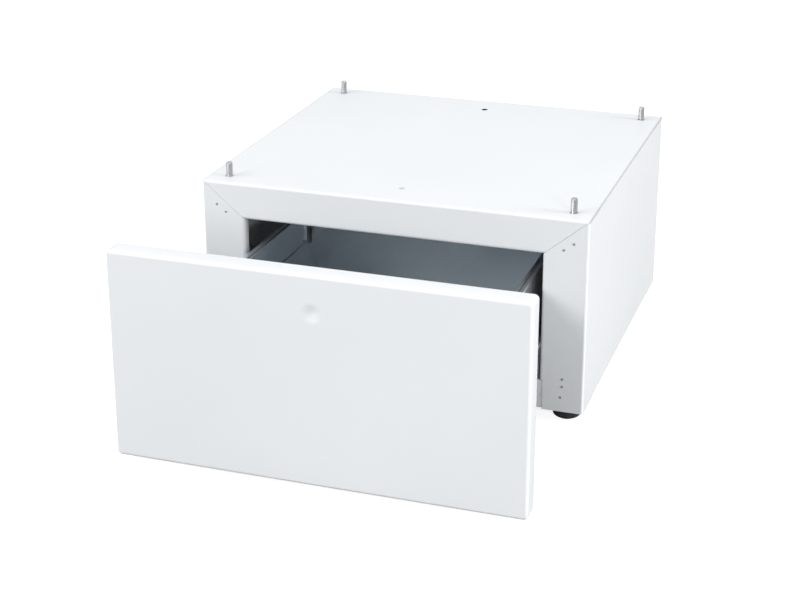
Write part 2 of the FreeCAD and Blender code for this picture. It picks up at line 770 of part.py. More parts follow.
def end_wall(face, depth):
    """A wall across the tray with a stiffening flange along its top, cut to the tray's section."""
    sheet = TRAY_SHEET if depth > 0 else -TRAY_SHEET
    path = [
        point(face, TRAY_FLOOR),
        point(face, TRAY_TOP),
        point(face + depth, TRAY_TOP),
    ]
    wall = folded(path, -sheet, [SIDE_BEND], ALONG, -TRAY_TOP_HALF, TRAY_TOP_HALF)
    inside = tray_path(END_CLEARANCE)
    edges = rounded_edges(inside, [TRAY_BEND] * (len(inside) - 2))
    edges.append(Part.LineSegment(inside[-1], inside[0]).toShape())
    section = Part.Face(Part.Wire(Part.__sortEdges__(edges)))
    reach = abs(depth) + OVERCUT
    return wall.common(swept(section, ACROSS, face - reach, face + reach))


def back_wall():
    """The rear end wall, with an upright gap at each upper corner."""
    face = LINER_BACK + TRAY_INSIDE
    gap = block(
        TRAY_TOP_HALF - CORNER_GAP, TRAY_TOP_HALF + OVERCUT,
        face - TRAY_SHEET - OVERCUT, face + END_FLANGE + OVERCUT,
        TRAY_SHOULDER + CORNER_GAP_LIFT, TRAY_TOP + OVERCUT,
    )
    return end_wall(face, END_FLANGE).cut(gap).cut(mirrored(gap))


def drawer_side():
    """The folded rail along the drawer's right edge."""
    path = [
        point(SIDE_INNER, SIDE_TOP - SIDE_FLANGE),
        point(SIDE_INNER, SIDE_TOP),
        point(SIDE_OUTER, SIDE_TOP),
        point(SIDE_OUTER, SIDE_BASE),
        point(SIDE_OUTER - SIDE_FOOT, SIDE_BASE),
    ]
    return folded(
        path, -TRAY_SHEET, [SIDE_BEND] * 3, ACROSS, LINER_BACK, LINER_BACK + TRAY_DEPTH
    )


def side_trim():
    """The thin strip inside the rail, with a lip that rests on the tray's wall."""
    face = TRAY_TOP_HALF - TRIM_STANDOFF
    path = [
        point(TRAY_TOP_HALF, TRIM_BASE),
        point(face, TRIM_BASE),
        point(face, SIDE_TOP),
    ]
    start = LINER_BACK + TRIM_START
    end = LINER_BACK + TRAY_INSIDE - TRIM_END
    return folded(path, -TRIM_SHEET, [TRIM_BEND], ACROSS, start, end)


def runner_carrier():
    """The hat section that carries the tray on the runner's inner member."""
    tray_wall = TRAY_FLOOR_HALF + TRAY_SHEET
    web = CARRIER_FACE - CARRIER_SHEET
    path = [
        point(tray_wall, CARRIER_LIP_TOP),
        point(tray_wall, CARRIER_TOP),
        point(web, CARRIER_TOP),
        point(web, CARRIER_BASE),
        point(tray_wall, CARRIER_BASE),
        point(tray_wall, CARRIER_LIP_BASE),
    ]
    bends = [SIDE_BEND] * 4
    return folded(path, CARRIER_SHEET, bends, ACROSS, RUNNER_START, RUNNER_END)


os.makedirs("parts", exist_ok=True)

save("top_panel", top_panel())
save_pair("side_panel", side_panel())
save("rear_panel", rear_panel())
front_rail = low_rail()
save("bottom_front_rail", front_rail)
save("bottom_rear_rail", turned_back(front_rail).translated(point(0, -SHELL_SHEET)))
front_post = corner_post()
save_pair("corner_post_front", front_post)
save_pair("corner_post_rear", turned_back(front_post))
corners = [(x, y) for x in (-STUD_X, STUD_X) for y in (-STUD_Y, STUD_Y)]
save("machine_studs", *[machine_stud(x, y) for x, y in corners])
save("stud_nuts", *[stud_nut(x, y) for x, y in corners])
save("foot_weld_nuts", *[weld_nut(x, y) for x, y in corners])
save("hole_plug", hole_plug())

save_pair("runner_support", runner_support())
save_pair("runner_outer", runner_outer())
save_pair("runner_middle", opened(runner_middle(), 1 / 2))
save_pair("runner_inner", opened(runner_inner()))
for name, solids, share in (("outer_cage", outer_cage(), 1 / 4), ("inner_cage", inner_cage(), 3 / 4)):
    moved = [opened(solid, share) for solid in solids]
    save(name + "_right", *moved)
    save(name + "_left", *[mirrored(solid) for solid in moved])
save_pair("latch_housing", latch_housing())
save_pair("latch_plunger", latch_plunger())

save("drawer_front_skin", opened(front_skin()))
save("drawer_front_liner", opened(front_liner()))
save("front_stiffeners", *[opened(front_stiffener(x)) for x in (-STIFFENER_X, STIFFENER_X)])
bumper_places = [(x, h) for x in (-BUMPER_X, BUMPER_X) for h in (BUMPER_LOW, BUMPER_HIGH)]
save("front_bumpers", *[opened(bumper(x, h)) for x, h in bumper_places])
save("drawer_tray", opened(drawer_tray()))
save("drawer_inner_front", opened(end_wall(LINER_BACK, END_FLANGE)))
save("drawer_back", opened(back_wall()))
save_pair("drawer_side", opened(drawer_side()))
save_pair("side_trim", opened(side_trim()))
save_pair("runner_carrier", opened(runner_carrier()))

for side, x in (("left", -STUD_X), ("right", STUD_X)):
    for end, y in (("front", -STUD_Y), ("rear", STUD_Y)):
        save("foot_sole_" + end + "_" + side, foot_sole(x, y))
        save("foot_screw_" + end + "_" + side, foot_screw(x, y))
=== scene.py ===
# %% [markdown]
# A laundry pedestal is a low steel box that lifts a washing machine to a handy height and hides
# a drawer under it. The solids of the box, the drawer and the ball runners are loaded first and
# stay where they are. This lesson then gives each of them its finish, and models again the
# pieces whose fine shape catches the light: the drawer front, the studs, the feet, the trims, the
# runners and the rivets.

# %% Load the frame
import json
import math

import bmesh
import bpy
from mathutils import Matrix, Vector


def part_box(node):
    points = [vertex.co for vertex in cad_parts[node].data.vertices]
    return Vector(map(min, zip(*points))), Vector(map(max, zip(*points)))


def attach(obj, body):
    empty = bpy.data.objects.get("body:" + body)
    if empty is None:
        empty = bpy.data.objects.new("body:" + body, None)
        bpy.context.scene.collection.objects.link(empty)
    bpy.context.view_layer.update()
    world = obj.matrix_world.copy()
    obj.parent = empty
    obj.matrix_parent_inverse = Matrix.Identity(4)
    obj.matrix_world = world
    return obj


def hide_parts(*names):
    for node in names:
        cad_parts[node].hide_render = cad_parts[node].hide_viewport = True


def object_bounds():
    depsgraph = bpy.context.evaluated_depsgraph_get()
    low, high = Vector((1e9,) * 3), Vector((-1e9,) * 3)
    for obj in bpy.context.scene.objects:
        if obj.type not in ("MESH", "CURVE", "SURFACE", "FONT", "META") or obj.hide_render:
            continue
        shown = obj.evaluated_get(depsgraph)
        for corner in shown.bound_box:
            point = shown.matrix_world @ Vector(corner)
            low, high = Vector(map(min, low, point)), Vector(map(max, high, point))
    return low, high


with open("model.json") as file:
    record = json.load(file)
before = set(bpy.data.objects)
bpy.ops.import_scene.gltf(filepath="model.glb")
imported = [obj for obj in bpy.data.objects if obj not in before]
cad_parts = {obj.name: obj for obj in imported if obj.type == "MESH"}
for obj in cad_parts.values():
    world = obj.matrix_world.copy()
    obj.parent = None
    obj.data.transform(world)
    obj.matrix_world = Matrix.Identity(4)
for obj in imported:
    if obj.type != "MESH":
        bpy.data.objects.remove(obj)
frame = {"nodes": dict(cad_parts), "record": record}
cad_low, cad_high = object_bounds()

MM = 0.001


def mount(name):
    """A named place on the object, from the record."""
    return next(m for m in frame["record"]["mounts"] if m["name"] == name)


# %% [markdown]
# Every finish starts from the same few nodes: a place on the piece, a noise that varies over it,
# and a ramp that turns the noise into a colour, a roughness or a height. The place is read from
# Object coordinates, in metres, so that a noise scale of 500 means grains of about two millimetres.
# Small helpers for these steps keep each finish below as short as its idea.

# %% Helpers for finishes
FINISHES = {}


def start_finish(name):
    material = bpy.data.materials.new(name)
    material.use_nodes = True
    FINISHES[name] = material
    return material.node_tree, material.node_tree.nodes["Principled BSDF"]


def place_on_piece(tree, stretch=(1, 1, 1)):
    """Object coordinates, squeezed along an axis where a finish has streaks."""
    coords = tree.nodes.new("ShaderNodeTexCoord")
    mapping = tree.nodes.new("ShaderNodeMapping")
    mapping.inputs["Scale"].default_value = stretch
    tree.links.new(coords.outputs["Object"], mapping.inputs["Vector"])
    return mapping.outputs["Vector"]


def speckle(tree, place, scale, detail=3.0):
    noise = tree.nodes.new("ShaderNodeTexNoise")
    noise.inputs["Scale"].default_value = scale
    noise.inputs["Detail"].default_value = detail
    tree.links.new(place, noise.inputs["Vector"])
    return noise.outputs["Fac"]


def ramp(tree, value, low_colour, high_colour, low=0.3, high=0.7):
    """Turn a noise value into a colour between two shades."""
    node = tree.nodes.new("ShaderNodeValToRGB")
    first, last = node.color_ramp.elements
    first.position, last.position = low, high
    first.color = (*low_colour, 1)
    last.color = (*high_colour, 1)
    tree.links.new(value, node.inputs["Fac"])
    return node.outputs["Color"]


def level(tree, value, low=0.0, high=1.0, start=0.0, end=1.0):
    """Turn a value between start and end into a plain number between low and high."""
    node = tree.nodes.new("ShaderNodeMapRange")
    node.inputs["From Min"].default_value = start
    node.inputs["From Max"].default_value = end
    node.inputs["To Min"].default_value = low
    node.inputs["To Max"].default_value = high
    tree.links.new(value, node.inputs["Value"])
    return node.outputs["Result"]


def paint(tree, shader, colour, roughness):
    tree.links.new(colour, shader.inputs["Base Color"])
    tree.links.new(roughness, shader.inputs["Roughness"])


def relief(tree, shader, height, depth, strength):
    """Let a noise value raise and sink the surface by about this depth in metres."""
    bump = tree.nodes.new("ShaderNodeBump")
    bump.inputs["Distance"].default_value = depth
    bump.inputs["Strength"].default_value = strength
    tree.links.new(height, bump.inputs["Height"])
    tree.links.new(bump.outputs["Normal"], shader.inputs["Normal"])


# %% [markdown]
# A finish isn't the same all over a piece, and two places on the enamel carry painted shade.
# Where the top lies on the sides, the bend and the seam under it get less light, and a fine grey
# line paints that shade. That line is found from its place on the shell: far out in X, high in Z,
# and behind the front. Round the open hole in the top a dark ring paints the shade inside the hole,
# so that the hole looks darker and wider. Both places are masks, values of nought or one with a soft
# step between, and a darker colour is laid over the first where a mask is one.

# %% Masks of painted shade on the enamel
SEAM_OUT = 296.1 * MM
SEAM_UP = 315.0 * MM
SEAM_SOFT = 0.6 * MM
# Width of the painted shade ring round the hole in the top.
HOLE_SHADE_RING = 0.4 * MM


def axes(tree, place):
    """The X, Y and Z of a place, each as a value."""
    split = tree.nodes.new("ShaderNodeSeparateXYZ")
    tree.links.new(place, split.inputs[0])
    return split.outputs


def calculate(tree, kind, first, second=None):
    """One step of arithmetic on one or two values."""
    node = tree.nodes.new("ShaderNodeMath")
    node.operation = kind
    tree.links.new(first, node.inputs[0])
    if second is not None:
        tree.links.new(second, node.inputs[1])
    return node.outputs[0]


def beyond(tree, value, limit, soft):
    """Nought below a limit and one above it, with a soft step. A negative softness swaps them."""
    return level(tree, value, start=limit - soft, end=limit + soft)


def seam_shade_mask(tree, place):
    """One along the edges where the top panel lies on the side panels, from front to rear, where
    shade is painted.
    """
    along = axes(tree, place)
    out = beyond(tree, calculate(tree, "ABSOLUTE", along["X"]), SEAM_OUT, SEAM_SOFT)
    up = beyond(tree, along["Z"], SEAM_UP, SEAM_SOFT)
    shell_front = -cad_high.y
    behind = beyond(tree, along["Y"], shell_front, SEAM_SOFT)
    return calculate(tree, "MULTIPLY", calculate(tree, "MULTIPLY", out, up), behind)


def hole_shade_mask(tree):
    """One in and round the open hole in the top, where a dark ring paints the hole's shade."""
    hole = mount("rear_centre_hole")
    apart = tree.nodes.new("ShaderNodeVectorMath")
    apart.operation = "DISTANCE"
    tree.links.new(place_on_piece(tree, (1, 1, 0)), apart.inputs[0])
    apart.inputs[1].default_value = (hole["pos_m"][0], hole["pos_m"][1], 0)
    reach = hole["dims"]["r_mm"] * MM + HOLE_SHADE_RING
    return beyond(tree, apart.outputs["Value"], reach, -HOLE_SHADE_RING / 2)


def lay_painted_shade(tree, shade, mask, colour):
    """Lay a darker colour over a colour where a mask is one: painted shade."""
    mix = tree.nodes.new("ShaderNodeMix")
    mix.data_type = "RGBA"
    tree.links.new(mask, mix.inputs["Factor"])
    tree.links.new(shade, mix.inputs["A"])
    mix.inputs["B"].default_value = (*colour, 1)
    return mix.outputs["Result"]


# %% [markdown]
# The shell and the drawer front are stove-enamelled: a thick white coat, baked until it flows
# out into a semi-gloss skin with a very faint orange peel. A plain white would look like paper.
# A slow cloud of two near-white shades, a roughness that drifts a little and a peel of a few
# microns give the light something to hold on to.

# %% Stoved enamel
# Strength and colour of the painted shade along the seams of the top.
SEAM_SHADE_STRENGTH = 0.5
SEAM_SHADE_COLOUR = (0.3, 0.31, 0.32)
# Colour of the painted shade round the hole in the top.
HOLE_SHADE_COLOUR = (0.03, 0.032, 0.035)


def white_enamel():
    tree, shader = start_finish("white_enamel")
    place = place_on_piece(tree)
    cloud = speckle(tree, place, scale=3.0)
    shade = ramp(tree, cloud, (0.79, 0.81, 0.825), (0.82, 0.838, 0.85))
    # Painted shade: a grey line along the seams where the top lies on the sides.
    seam_shade = level(tree, seam_shade_mask(tree, place), high=SEAM_SHADE_STRENGTH)
    shade = lay_painted_shade(tree, shade, seam_shade, SEAM_SHADE_COLOUR)
    # Painted shade: a dark ring round the hole in the top.
    shade = lay_painted_shade(tree, shade, hole_shade_mask(tree), HOLE_SHADE_COLOUR)
    drift = speckle(tree, place, scale=40.0)
    paint(tree, shader, shade, level(tree, drift, low=0.26, high=0.36))
    peel = speckle(tree, place, scale=420.0, detail=2.0)
    relief(tree, shader, peel, depth=0.02 * MM, strength=0.25)
    shader.inputs["Coat Weight"].default_value = 0.25
    shader.inputs["Coat Roughness"].default_value = 0.12
    return tree


print("white enamel", len(white_enamel().nodes), "nodes")

# %% [markdown]
# The drawer box inside is sheet steel under a thin grey lacquer with a metallic glint. Seen at
# a low angle it mirrors the white room softly, which is why the photographed interior runs from
# slate to a lighter grey. A mostly metallic shader with a fine flake does that.

# %% Grey lacquer
def grey_lacquer():
    tree, shader = start_finish("grey_lacquer")
    place = place_on_piece(tree)
    cloud = speckle(tree, place, scale=6.0)
    shade = ramp(tree, cloud, (0.56, 0.605, 0.64), (0.61, 0.655, 0.69))
    flake = speckle(tree, place, scale=1500.0, detail=1.0)
    paint(tree, shader, shade, level(tree, flake, low=0.2, high=0.28))
    relief(tree, shader, flake, depth=0.004 * MM, strength=0.1)
    shader.inputs["Metallic"].default_value = 0.78
    return tree


print("grey lacquer", len(grey_lacquer().nodes), "nodes")

# %% [markdown]
# Posts, supports, carriers and rivets are galvanised. Hot zinc freezes into flat crystals, the
# spangle, and each crystal mirrors the light a little differently. A texture of cells is the natural
# pattern for that, at about a centimetre across.

# %% Galvanised sheet
def crystals(tree, place, scale):
    cells = tree.nodes.new("ShaderNodeTexVoronoi")
    cells.inputs["Scale"].default_value = scale
    tree.links.new(place, cells.inputs["Vector"])
    return cells.outputs["Color"]


def zinc_steel():
    tree, shader = start_finish("zinc_steel")
    place = place_on_piece(tree)
    spangle = crystals(tree, place, scale=110.0)
    shade = ramp(tree, spangle, (0.44, 0.455, 0.47), (0.6, 0.61, 0.62), low=0.1, high=0.9)
    paint(tree, shader, shade, level(tree, spangle, low=0.32, high=0.5))
    scuff = speckle(tree, place, scale=260.0)
    relief(tree, shader, scuff, depth=0.02 * MM, strength=0.3)
    shader.inputs["Metallic"].default_value = 0.9
    return tree


print("galvanised sheet", len(zinc_steel().nodes), "nodes")

# %% [markdown]
# The runners are rolled from bright strip, so their surface carries fine lines along the rolling
# direction, from front to back. Squeezing the place along Y stretches the noise into such lines.

# %% Rolled runner steel
def runner_steel():
    tree, shader = start_finish("runner_steel")
    lines = speckle(tree, place_on_piece(tree, (1, 0.02, 1)), scale=900.0)
    shade = ramp(tree, lines, (0.5, 0.51, 0.52), (0.68, 0.685, 0.69))
    paint(tree, shader, shade, level(tree, lines, low=0.2, high=0.38))
    relief(tree, shader, lines, depth=0.01 * MM, strength=0.4)
    shader.inputs["Metallic"].default_value = 1.0
    return tree


print("runner steel", len(runner_steel().nodes), "nodes")

# %% [markdown]
# A stud is turned from plain bar: bright on the crests of its thread and a little darker and
# oilier in the grooves. The grooves are real geometry below, so the finish only adds the fine
# turning marks, which run round the bar and are close together along Z.

# %% Turned stud steel
def stud_steel():
    tree, shader = start_finish("stud_steel")
    marks = speckle(tree, place_on_piece(tree, (1, 1, 12)), scale=500.0)
    shade = ramp(tree, marks, (0.54, 0.555, 0.57), (0.82, 0.83, 0.84))
    paint(tree, shader, shade, level(tree, marks, low=0.22, high=0.4))
    relief(tree, shader, marks, depth=0.02 * MM, strength=0.4)
    shader.inputs["Metallic"].default_value = 1.0
    return tree


print("stud steel", len(stud_steel().nodes), "nodes")

# %% [markdown]
# Moulded plastics and rubber share one recipe: a dark or pale body colour that varies a little,
# and the fine erosion texture of the mould. Only the numbers differ, so one function makes the
# foot's black nylon, the sole's rubber, the latch's grey and the plug's ivory.

# %% Moulded plastics and rubber
def moulded(name, low_colour, high_colour, roughness, grain, depth):
    tree, shader = start_finish(name)
    place = place_on_piece(tree)
    cloud = speckle(tree, place, scale=60.0)
    shade = ramp(tree, cloud, low_colour, high_colour)
    erosion = speckle(tree, place, grain)
    paint(tree, shader, shade, level(tree, erosion, *roughness))
    relief(tree, shader, erosion, depth, strength=0.5)
    print(name, len(tree.nodes), "nodes")


moulded(
    "foot_plastic", (0.02, 0.022, 0.026), (0.034, 0.037, 0.042),
    roughness=(0.16, 0.26), grain=1800.0, depth=0.03 * MM,
)
moulded(
    "sole_rubber", (0.014, 0.014, 0.014), (0.026, 0.026, 0.026),
    roughness=(0.7, 0.9), grain=1200.0, depth=0.06 * MM,
)
moulded(
    "latch_plastic", (0.05, 0.053, 0.056), (0.075, 0.078, 0.082),
    roughness=(0.4, 0.55), grain=1500.0, depth=0.03 * MM,
)
moulded(
    "plug_plastic", (0.52, 0.52, 0.51), (0.58, 0.58, 0.57),
    roughness=(0.4, 0.55), grain=1500.0, depth=0.03 * MM,
)

# %% [markdown]
# The record names a finish for each solid. The solids' shapes stay as they are, so all they need
# is that finish in their first material slot.

# %% Finishes on the solids
for part in frame["record"]["subparts"]:
    node = frame["nodes"][part["node"]]
    node.material_slots[0].material = FINISHES[part["material_slot"]]
print("finishes", len(FINISHES), "on", len(frame["nodes"]), "nodes")

# %% [markdown]
# New pieces all end in the same way: a bmesh becomes an object at the origin, gets the finish of
# its record slot, rides on the body that carries it and may stand in for a plain solid. Edges
# that turn sharply stay crisp and everything flatter is shaded smooth. Many pieces are round, and
# these start as a profile that is spun about an upright axis.

# %% Turning a bmesh into a piece
SHARP_TURN = math.radians(32)
MERGE = 0.002 * MM
ROUND_STEPS = 48


def finish_piece(name, bm, body, slot, stands_for=()):
    bmesh.ops.remove_doubles(bm, verts=bm.verts, dist=MERGE)
    bmesh.ops.recalc_face_normals(bm, faces=bm.faces)
    for face in bm.faces:
        face.smooth = True
    for edge in bm.edges:
        edge.smooth = edge.calc_face_angle(0) < SHARP_TURN
    mesh = bpy.data.meshes.new(name)
    bm.to_mesh(mesh)
    bm.free()
    mesh.materials.append(FINISHES[slot])
    piece = bpy.data.objects.new(name, mesh)
    bpy.context.scene.collection.objects.link(piece)
    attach(piece, body)
    if stands_for:
        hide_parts(*stands_for)
    print(name, len(mesh.polygons), "faces")
    return piece


def since(bm, before):
    """The points that a bmesh has gained."""
    return [v for v in bm.verts if v not in before]


def spin_round(bm, profile, centre, steps=ROUND_STEPS):
    """Turn a profile of radius and height round an upright axis, and give its points."""
    before = set(bm.verts)
    verts = [bm.verts.new((centre.x + r, centre.y, centre.z + z)) for r, z in profile]
    edges = [bm.edges.new(pair) for pair in zip(verts, verts[1:])]
    bmesh.ops.spin(
        bm, geom=verts + edges, cent=centre, axis=(0, 0, 1), angle=math.tau, steps=steps,
        use_merge=True,
    )
    return since(bm, before)


# %% [markdown]
# Some pieces are pressed from one sheet into a shallow pan. A pan starts as a box without the face
# at its mouth. Bevel rounds its four corners, and then the edge all round its floor. Solidify gives
# the sheet its thickness, and Weighted Normal keeps the flat floor flat beside the roundings.

# %% Pressing a pan
FACING = 0.9


def round_edges(bm, edges, radius, steps):
    bmesh.ops.bevel(
        bm, geom=edges, offset=radius, segments=steps, profile=0.5, affect="EDGES", material=-1
    )


def pan_floor(bm, mouth):
    """The largest face that looks away from the mouth."""
    away = [f for f in bm.faces if f.normal.dot(mouth) < -FACING]
    return max(away, key=lambda f: f.calc_area())


def open_pan(low, high, mouth, corner, corner_steps, rounding, rounding_steps):
    """A box between two points, open along one axis and rounded like a pressing."""
    bm = bmesh.new()
    bmesh.ops.create_cube(bm, size=1.0)
    bmesh.ops.scale(bm, vec=high - low, verts=bm.verts)
    bmesh.ops.translate(bm, vec=(low + high) / 2, verts=bm.verts)
    lid = [f for f in bm.faces if f.normal.dot(mouth) > FACING]
    bmesh.ops.delete(bm, geom=lid, context="FACES_ONLY")
    deep = abs((high - low).dot(mouth)) / 2
    corners = [e for e in bm.edges if abs((e.verts[0].co - e.verts[1].co).dot(mouth)) > deep]
    round_edges(bm, corners, corner, corner_steps)
    round_edges(bm, pan_floor(bm, mouth).edges[:], rounding, rounding_steps)
    return bm


def thicken(piece, thickness):
    """Give a surface the thickness of its sheet, inwards."""
    sheet = piece.modifiers.new("sheet", "SOLIDIFY")
    sheet.thickness = thickness
    sheet.offset = -1


def keep_flat(piece):
    flat = piece.modifiers.new("flat_faces", "WEIGHTED_NORMAL")
    flat.keep_sharp = True


# %% [markdown]
# The drawer front is such a pan: softly rounded all round its face, with square returns behind.
# It has no handle. Near its top a round dimple shows where to push, so that the touch latch lets
# the drawer out. The dimple is a spun dish, and the flat of the face is filled up to its rim.

# %% Drawer front
FRONT_CORNER = 6.5 * MM
FRONT_ROUNDING = 5.0 * MM
FRONT_STEPS = 8
FRONT_SHEET = 1.2 * MM
DIMPLE_RADIUS = 16.0 * MM
DIMPLE_DEPTH = 2.6 * MM
DIMPLE_DROP = 53.5 * MM
DIMPLE_RINGS = 14
DIMPLE_STEPS = 72


def dish_profile():
    """Depth of the dimple from its middle to its rim, level at both ends."""
    profile = []
    for k in range(DIMPLE_RINGS + 1):
        share = k / DIMPLE_RINGS
        depth = DIMPLE_DEPTH * (0.5 + 0.5 * math.cos(math.pi * share))
        profile.append((DIMPLE_RADIUS * share, -depth))
    return profile


def drawer_front():
    low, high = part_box("drawer_front_skin")
    back = Vector((0, 1, 0))
    bm = open_pan(low, high, back, FRONT_CORNER, FRONT_STEPS, FRONT_ROUNDING, FRONT_STEPS)
    face = pan_floor(bm, back)
    edges = face.edges[:]
    bmesh.ops.delete(bm, geom=[face], context="FACES_ONLY")
    before = set(bm.verts)
    dish = spin_round(bm, dish_profile(), Vector((0, 0, 0)), DIMPLE_STEPS)
    bmesh.ops.remove_doubles(bm, verts=dish, dist=MERGE)
    dish = since(bm, before)
    bmesh.ops.rotate(bm, cent=(0, 0, 0), matrix=Matrix.Rotation(math.pi / 2, 3, "X"), verts=dish)
    bmesh.ops.translate(bm, vec=(0, low.y, high.z - DIMPLE_DROP), verts=dish)
    rim = [e for v in dish for e in v.link_edges if e.is_boundary]
    bmesh.ops.triangle_fill(bm, use_beauty=True, edges=edges + list(dict.fromkeys(rim)))
    piece = finish_piece("drawer_front", bm, "drawer", "white_enamel", ["drawer_front_skin"])
    thicken(piece, FRONT_SHEET)
    keep_flat(piece)


drawer_front()

# %% [markdown]
# Four threaded studs stand on the top, one near each corner, and hold the machine's feet. A
# thread is a groove that climbs one pitch in each turn. A zigzag line with one tooth for each
# pitch is spun once round while it climbs by one pitch, so every tooth meets the next one and a
# true helix comes out. Two cuts square off its ends, and the tip is drawn in to a chamfer.

# %% Threaded rods
THREAD_PITCH = 1.5 * MM
THREAD_DEPTH = 0.8 * MM
THREAD_STEPS = 40
THREAD_MERGE = 0.01 * MM
SPARE_TEETH = 2
CUT_SLACK = 0.0005 * MM
TIP_CHAMFER = 1.5 * MM


def cut_square(bm, rod, centre, side):
    """Cut a rod off at a centre, take away what lies on one side, and close the end."""
    geom = rod + list({e for v in rod for e in v.link_edges})
    geom += list({f for v in rod for f in v.link_faces})
    cut = bmesh.ops.bisect_plane(
        bm, geom=geom, dist=CUT_SLACK, plane_co=centre, plane_no=(0, 0, side), clear_outer=True
    )
    rim = [e for e in cut["geom_cut"] if isinstance(e, bmesh.types.BMEdge)]
    bmesh.ops.edgeloop_fill(bm, edges=rim)


def draw_in(verts, x, y, tip, radius):
    """Pull the last threads of a rod in to a cone."""
    for vert in verts:
        most = radius - max(0.0, vert.co.z - (tip - TIP_CHAMFER))
        away = Vector((vert.co.x - x, vert.co.y - y))
        if away.length > most:
            away *= most / away.length
            vert.co.x, vert.co.y = x + away.x, y + away.y


def threaded_rod(bm, radius, x, y, low, high):
    """A rod with a helical thread between two heights, closed at both ends."""
    before = set(bm.verts)
    teeth = math.ceil((high - low) / THREAD_PITCH) + SPARE_TEETH
    start = low - SPARE_TEETH * THREAD_PITCH
    verts = []
    for k in range(2 * teeth + 1):
        reach = radius - THREAD_DEPTH * (k % 2)
        verts.append(bm.verts.new((x + reach, y, start + k * THREAD_PITCH / 2)))
    edges = [bm.edges.new(pair) for pair in zip(verts, verts[1:])]
    climb = THREAD_PITCH / THREAD_STEPS
    bmesh.ops.spin(
        bm, geom=verts + edges, cent=(x, y, 0), axis=(0, 0, 1), dvec=(0, 0, climb),
        angle=math.tau, steps=THREAD_STEPS,
    )
    bmesh.ops.remove_doubles(bm, verts=since(bm, before), dist=THREAD_MERGE)
    for height, side in ((low, -1), (high, 1)):
        cut_square(bm, since(bm, before), (x, y, height), side)
    draw_in(since(bm, before), x, y, high, radius)


# %% [markdown]
# Each stud comes out of the top through a flat collar, a ring that is pressed into the sheet until
# it lies level with it. Its edge is broken a little, so that it shows as a fine line.

# %% Machine studs
COLLAR_RADIUS = 5.8 * MM
COLLAR_BORE = 4.0 * MM
COLLAR_DEPTH = 1.4 * MM
COLLAR_EDGE_DROP = 0.2 * MM
COLLAR_EDGE_WIDTH = 0.3 * MM
COLLAR_PROFILE = (
    (COLLAR_BORE, -COLLAR_DEPTH),
    (COLLAR_RADIUS, -COLLAR_DEPTH),
    (COLLAR_RADIUS, -COLLAR_EDGE_DROP),
    (COLLAR_RADIUS - COLLAR_EDGE_WIDTH, 0.0),
    (COLLAR_BORE, 0.0),
    (COLLAR_BORE, -COLLAR_DEPTH),
)


def machine_studs():
    low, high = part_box("machine_studs")
    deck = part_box("top_panel")[1].z
    studs = mount("machine_studs")["dims"]
    radius = studs["stud_r_mm"] * MM
    reach_x = studs["spacing_x_mm"] / 2 * MM
    reach_y = studs["spacing_y_mm"] / 2 * MM
    bm = bmesh.new()
    for x in (-reach_x, reach_x):
        for y in (-reach_y, reach_y):
            threaded_rod(bm, radius, x, y, low.z, high.z)
            spin_round(bm, COLLAR_PROFILE, Vector((x, y, deck)))
    finish_piece("threaded_studs", bm, "shell", "stud_steel", ["machine_studs"])


machine_studs()

# %% [markdown]
# A levelling foot is a black nylon disc on a threaded stem. Its lower edge is rounded like a bowl,
# so that it slides over tiles, and its rim is fluted for the fingers. The disc is spun from a
# short profile with an arc, and a wave that runs round the rim draws it in a little to make the
# flutes. The stem is the same helical rod as the studs.

# %% Levelling feet
FOOT_ROUNDING = 5.0 * MM
FOOT_ARC_STEPS = 12
FOOT_TOP_EDGE = 0.8 * MM
FOOT_TOP_GAP = 0.3 * MM
FOOT_FLUTES = 24
FLUTE_STEPS = 4
FLUTE_DEPTH = 0.5 * MM
RIM_BAND = 1.0 * MM
STEM_RADIUS = 4.75 * MM
STEM_SINK = 1.0 * MM
SOLE_SEAT = 2.5 * MM


def foot_profile(radius, seat, top):
    """Bowl from the seat of the sole to the rim, then over the top back to the middle."""
    profile = [(0.0, seat)]
    for k in range(FOOT_ARC_STEPS + 1):
        turn = k / FOOT_ARC_STEPS * math.pi / 2
        reach = radius - FOOT_ROUNDING * (1 - math.sin(turn))
        profile.append((reach, seat + FOOT_ROUNDING * (1 - math.cos(turn))))
    profile += [(radius, top - FOOT_TOP_EDGE), (radius - FOOT_TOP_EDGE, top), (0.0, top)]
    return profile


def flute_rim(bm, centre, radius):
    """Draw the rim of a disc in by a wave."""
    for vert in bm.verts:
        away = Vector((vert.co.x - centre.x, vert.co.y - centre.y))
        if away.length > radius - RIM_BAND and vert.co.z > SOLE_SEAT + FOOT_ROUNDING / 2:
            wave = 0.5 - 0.5 * math.cos(math.atan2(away.y, away.x) * FOOT_FLUTES)
            away *= 1 - FLUTE_DEPTH * wave / away.length
            vert.co.x, vert.co.y = centre.x + away.x, centre.y + away.y


def levelling_foot(end):
    node = "foot_screw_" + end
    low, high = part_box(node)
    centre = (low + high) / 2
    radius = (high.x - low.x) / 2
    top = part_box("corner_post_" + end)[0].z - FOOT_TOP_GAP
    bm = bmesh.new()
    profile = foot_profile(radius, SOLE_SEAT, top)
    spin_round(bm, profile, Vector((centre.x, centre.y, 0)), FLUTE_STEPS * FOOT_FLUTES)
    flute_rim(bm, centre, radius)
    threaded_rod(bm, STEM_RADIUS, centre.x, centre.y, top - STEM_SINK, high.z)
    finish_piece("levelling_foot_" + end, bm, "screw_" + end, "foot_plastic", [node])


for end in ("front_left", "front_right", "rear_left", "rear_right"):
    levelling_foot(end)

# %% [markdown]
# Small round heads show on the stiles where the sheets are riveted to the posts behind them: two
# under each mitre and three at each foot. A rivet is a low dome with a sunk middle, spun from
# seven points that are shares of its radius and height. One list of places, in millimetres from
# the shell's side and underside, serves both stiles.

